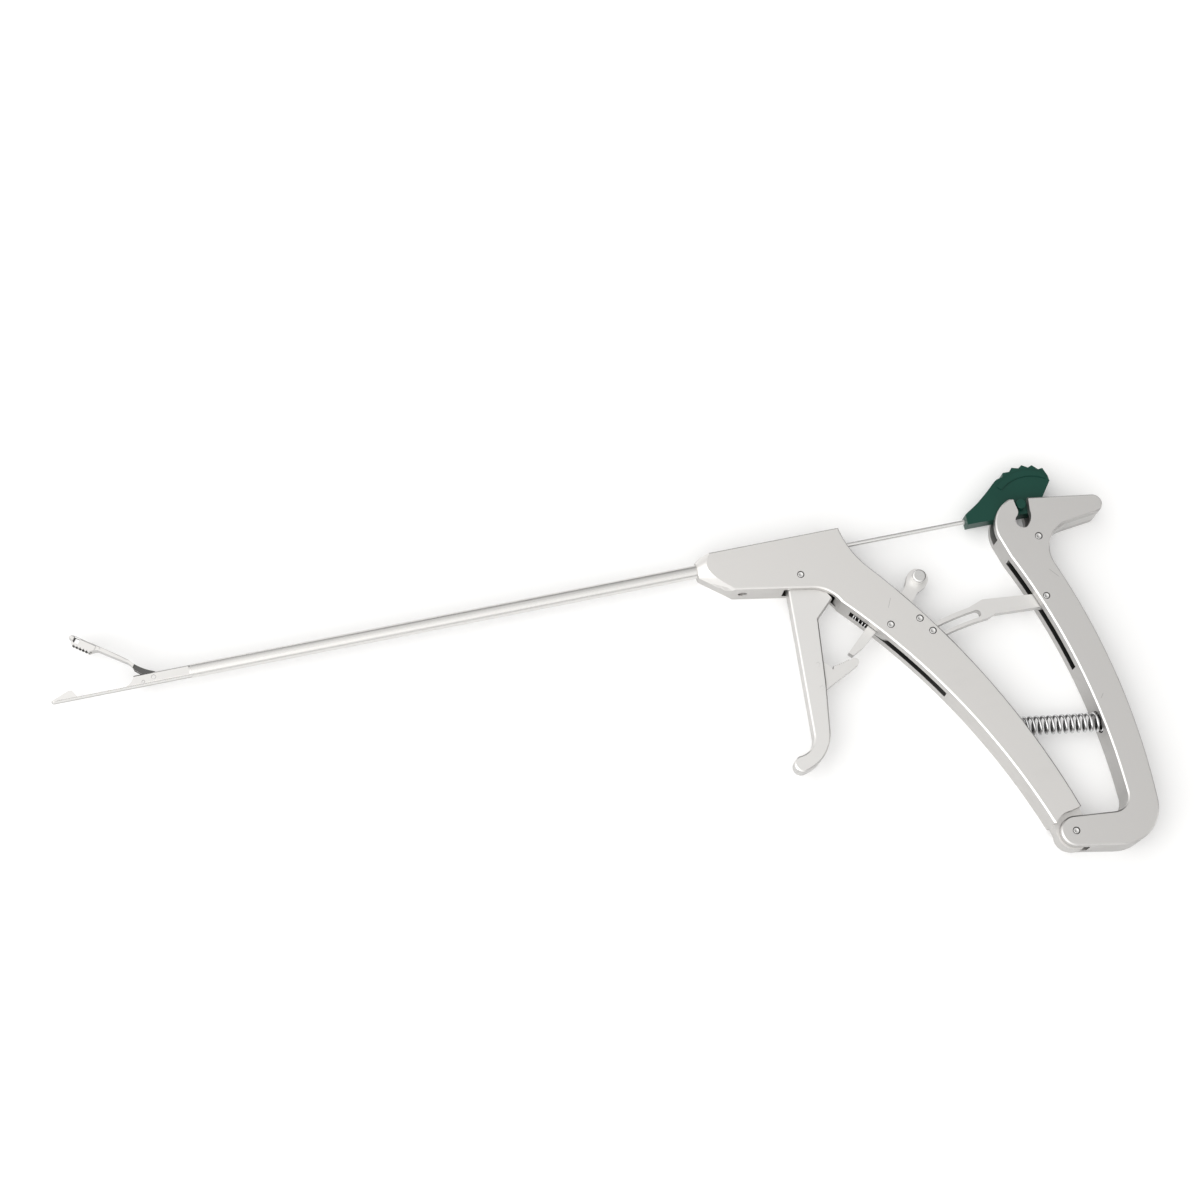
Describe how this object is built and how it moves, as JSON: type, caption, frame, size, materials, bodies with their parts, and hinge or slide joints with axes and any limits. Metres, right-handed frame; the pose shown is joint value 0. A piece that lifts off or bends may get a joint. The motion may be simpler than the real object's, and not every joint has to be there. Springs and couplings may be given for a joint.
{
  "type": "suture grasper",
  "caption": "Handled suture passing grasper with a pivoting upper jaw, ratcheted trigger, needle-driving rear lever and slim straight shaft.",
  "frame": {"origin": "on the shaft's axis where the tube enters the handle's nose, in the middle of the thickness", "axes": "+X along the shaft from the jaws towards the hand, +Y towards the opened jaw, +Z through the thickness"},
  "size_m": [0.3542, 0.1392, 0.011],
  "materials": {
    "satin_steel": "bead-blasted satin stainless steel",
    "tube_steel": "satin drawn stainless tube",
    "pin_steel": "ground stainless steel",
    "spring_steel": "polished spring wire",
    "needle_alloy": "dark drawn flexible alloy wire",
    "tab_plastic": "moulded deep green plastic"
  },
  "bodies": {
    "frame": {"body_frame": "satin_steel", "shaft_tube": "tube_steel", "lower_jaw": "satin_steel", "jaw_pivot_pin_left": "pin_steel", "jaw_pivot_pin_right": "pin_steel", "slide_guide_pin": "pin_steel", "trigger_pivot_pin": "pin_steel", "pawl_pivot_pin": "pin_steel", "link_slot_pin": "pin_steel", "link_rest_pin": "pin_steel", "handle_pivot_pin": "pin_steel", "drive_return_spring": "spring_steel", "pawl_spring": "spring_steel", "handle_return_spring": "spring_steel"},
    "jaw": {"upper_jaw": "satin_steel", "jaw_drive_pin": "pin_steel"},
    "drive": {"drive_rod": "satin_steel", "drive_block": "satin_steel"},
    "trigger": {"trigger": "satin_steel", "trigger_drive_pin": "pin_steel", "ratchet_arm": "satin_steel", "ratchet_rivet_upper": "satin_steel", "ratchet_rivet_lower": "satin_steel"},
    "pawl": {"pawl_lever": "satin_steel", "thumb_button": "pin_steel"},
    "lever": {"rear_lever": "satin_steel", "head_cross_pin": "pin_steel", "link_pivot_pin": "pin_steel"},
    "link": {"slotted_link": "satin_steel"},
    "needle": {"needle_tab": "tab_plastic", "tab_cross_pin": "tab_plastic", "needle_rod": "pin_steel", "needle_ferrule": "pin_steel", "needle_wire": "needle_alloy"}
  },
  "joints": [
    {"name": "trigger_hinge", "type": "hinge", "parent": "frame", "child": "trigger", "pos_m": [0.0329, -0.0096, 0], "axis": [0, 0, 1], "range_deg": [0, 14], "stiffness_Nm_per_rad": 0.5, "springref_deg": -17.19},
    {"name": "drive_slide", "type": "slide", "parent": "frame", "child": "drive", "axis": [-1, 0, 0], "range_m": [0, 0.00101], "deforming": ["drive_return_spring"]},
    {"name": "jaw_hinge", "type": "hinge", "parent": "frame", "child": "jaw", "pos_m": [-0.1804, 0, 0], "axis": [0, 0, 1], "range_deg": [0, 36.5]},
    {"name": "pawl_hinge", "type": "hinge", "parent": "frame", "child": "pawl", "pos_m": [0.0579, -0.0325, 0], "axis": [0, 0, -1], "range_deg": [0, 6], "stiffness_Nm_per_rad": 0.05, "springref_deg": -11.46, "deforming": ["pawl_spring"]},
    {"name": "lever_hinge", "type": "hinge", "parent": "frame", "child": "lever", "pos_m": [0.0985, -0.1122, 0], "axis": [0, 0, 1], "range_deg": [0, 12.9], "stiffness_Nm_per_rad": 3, "springref_deg": -17.19, "deforming": ["handle_return_spring"]},
    {"name": "link_hinge", "type": "hinge", "parent": "lever", "child": "link", "pos_m": [0.1121, -0.0334, 0], "axis": [0, 0, 1], "range_deg": [-1.3, 0]},
    {"name": "needle_slide", "type": "slide", "parent": "frame", "child": "needle", "axis": [-1, 0, 0], "range_m": [0, 0.0254]}
  ],
  "couplings": [
    {"joint": "drive_slide", "follows": "trigger_hinge", "m_per_rad": 0.0040998},
    {"joint": "jaw_hinge", "follows": "trigger_hinge", "ratio": 2.6071},
    {"joint": "link_hinge", "follows": "lever_hinge", "ratio": -0.1},
    {"joint": "needle_slide", "follows": "lever_hinge", "m_per_rad": 0.11271}
  ]
}
